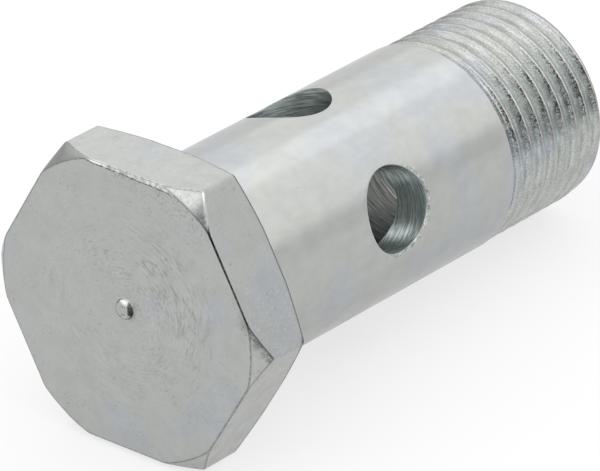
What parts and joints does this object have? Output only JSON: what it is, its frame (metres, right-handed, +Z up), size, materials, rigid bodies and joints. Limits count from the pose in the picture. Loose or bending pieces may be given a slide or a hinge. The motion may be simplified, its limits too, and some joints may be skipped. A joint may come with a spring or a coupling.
{
  "type": "hollow banjo bolt",
  "caption": "Hexagon-headed hollow bolt for hydraulic ring fittings: plain shank crossed by drillings at one level, fine thread and blind axial bore.",
  "frame": {"origin": "middle of the footprint on the ground, with the bolt lying on one flat of its head and on its thread", "axes": "+Z up; +X along the bolt from head to thread, seen from above"},
  "size_m": [0.0514, 0.0278, 0.0243],
  "materials": {
    "zinc_plated_steel": "bright zinc plate over turned steel, satin"
  },
  "bodies": {
    "root": {"banjo_bolt": "zinc_plated_steel"}
  },
  "joints": []
}
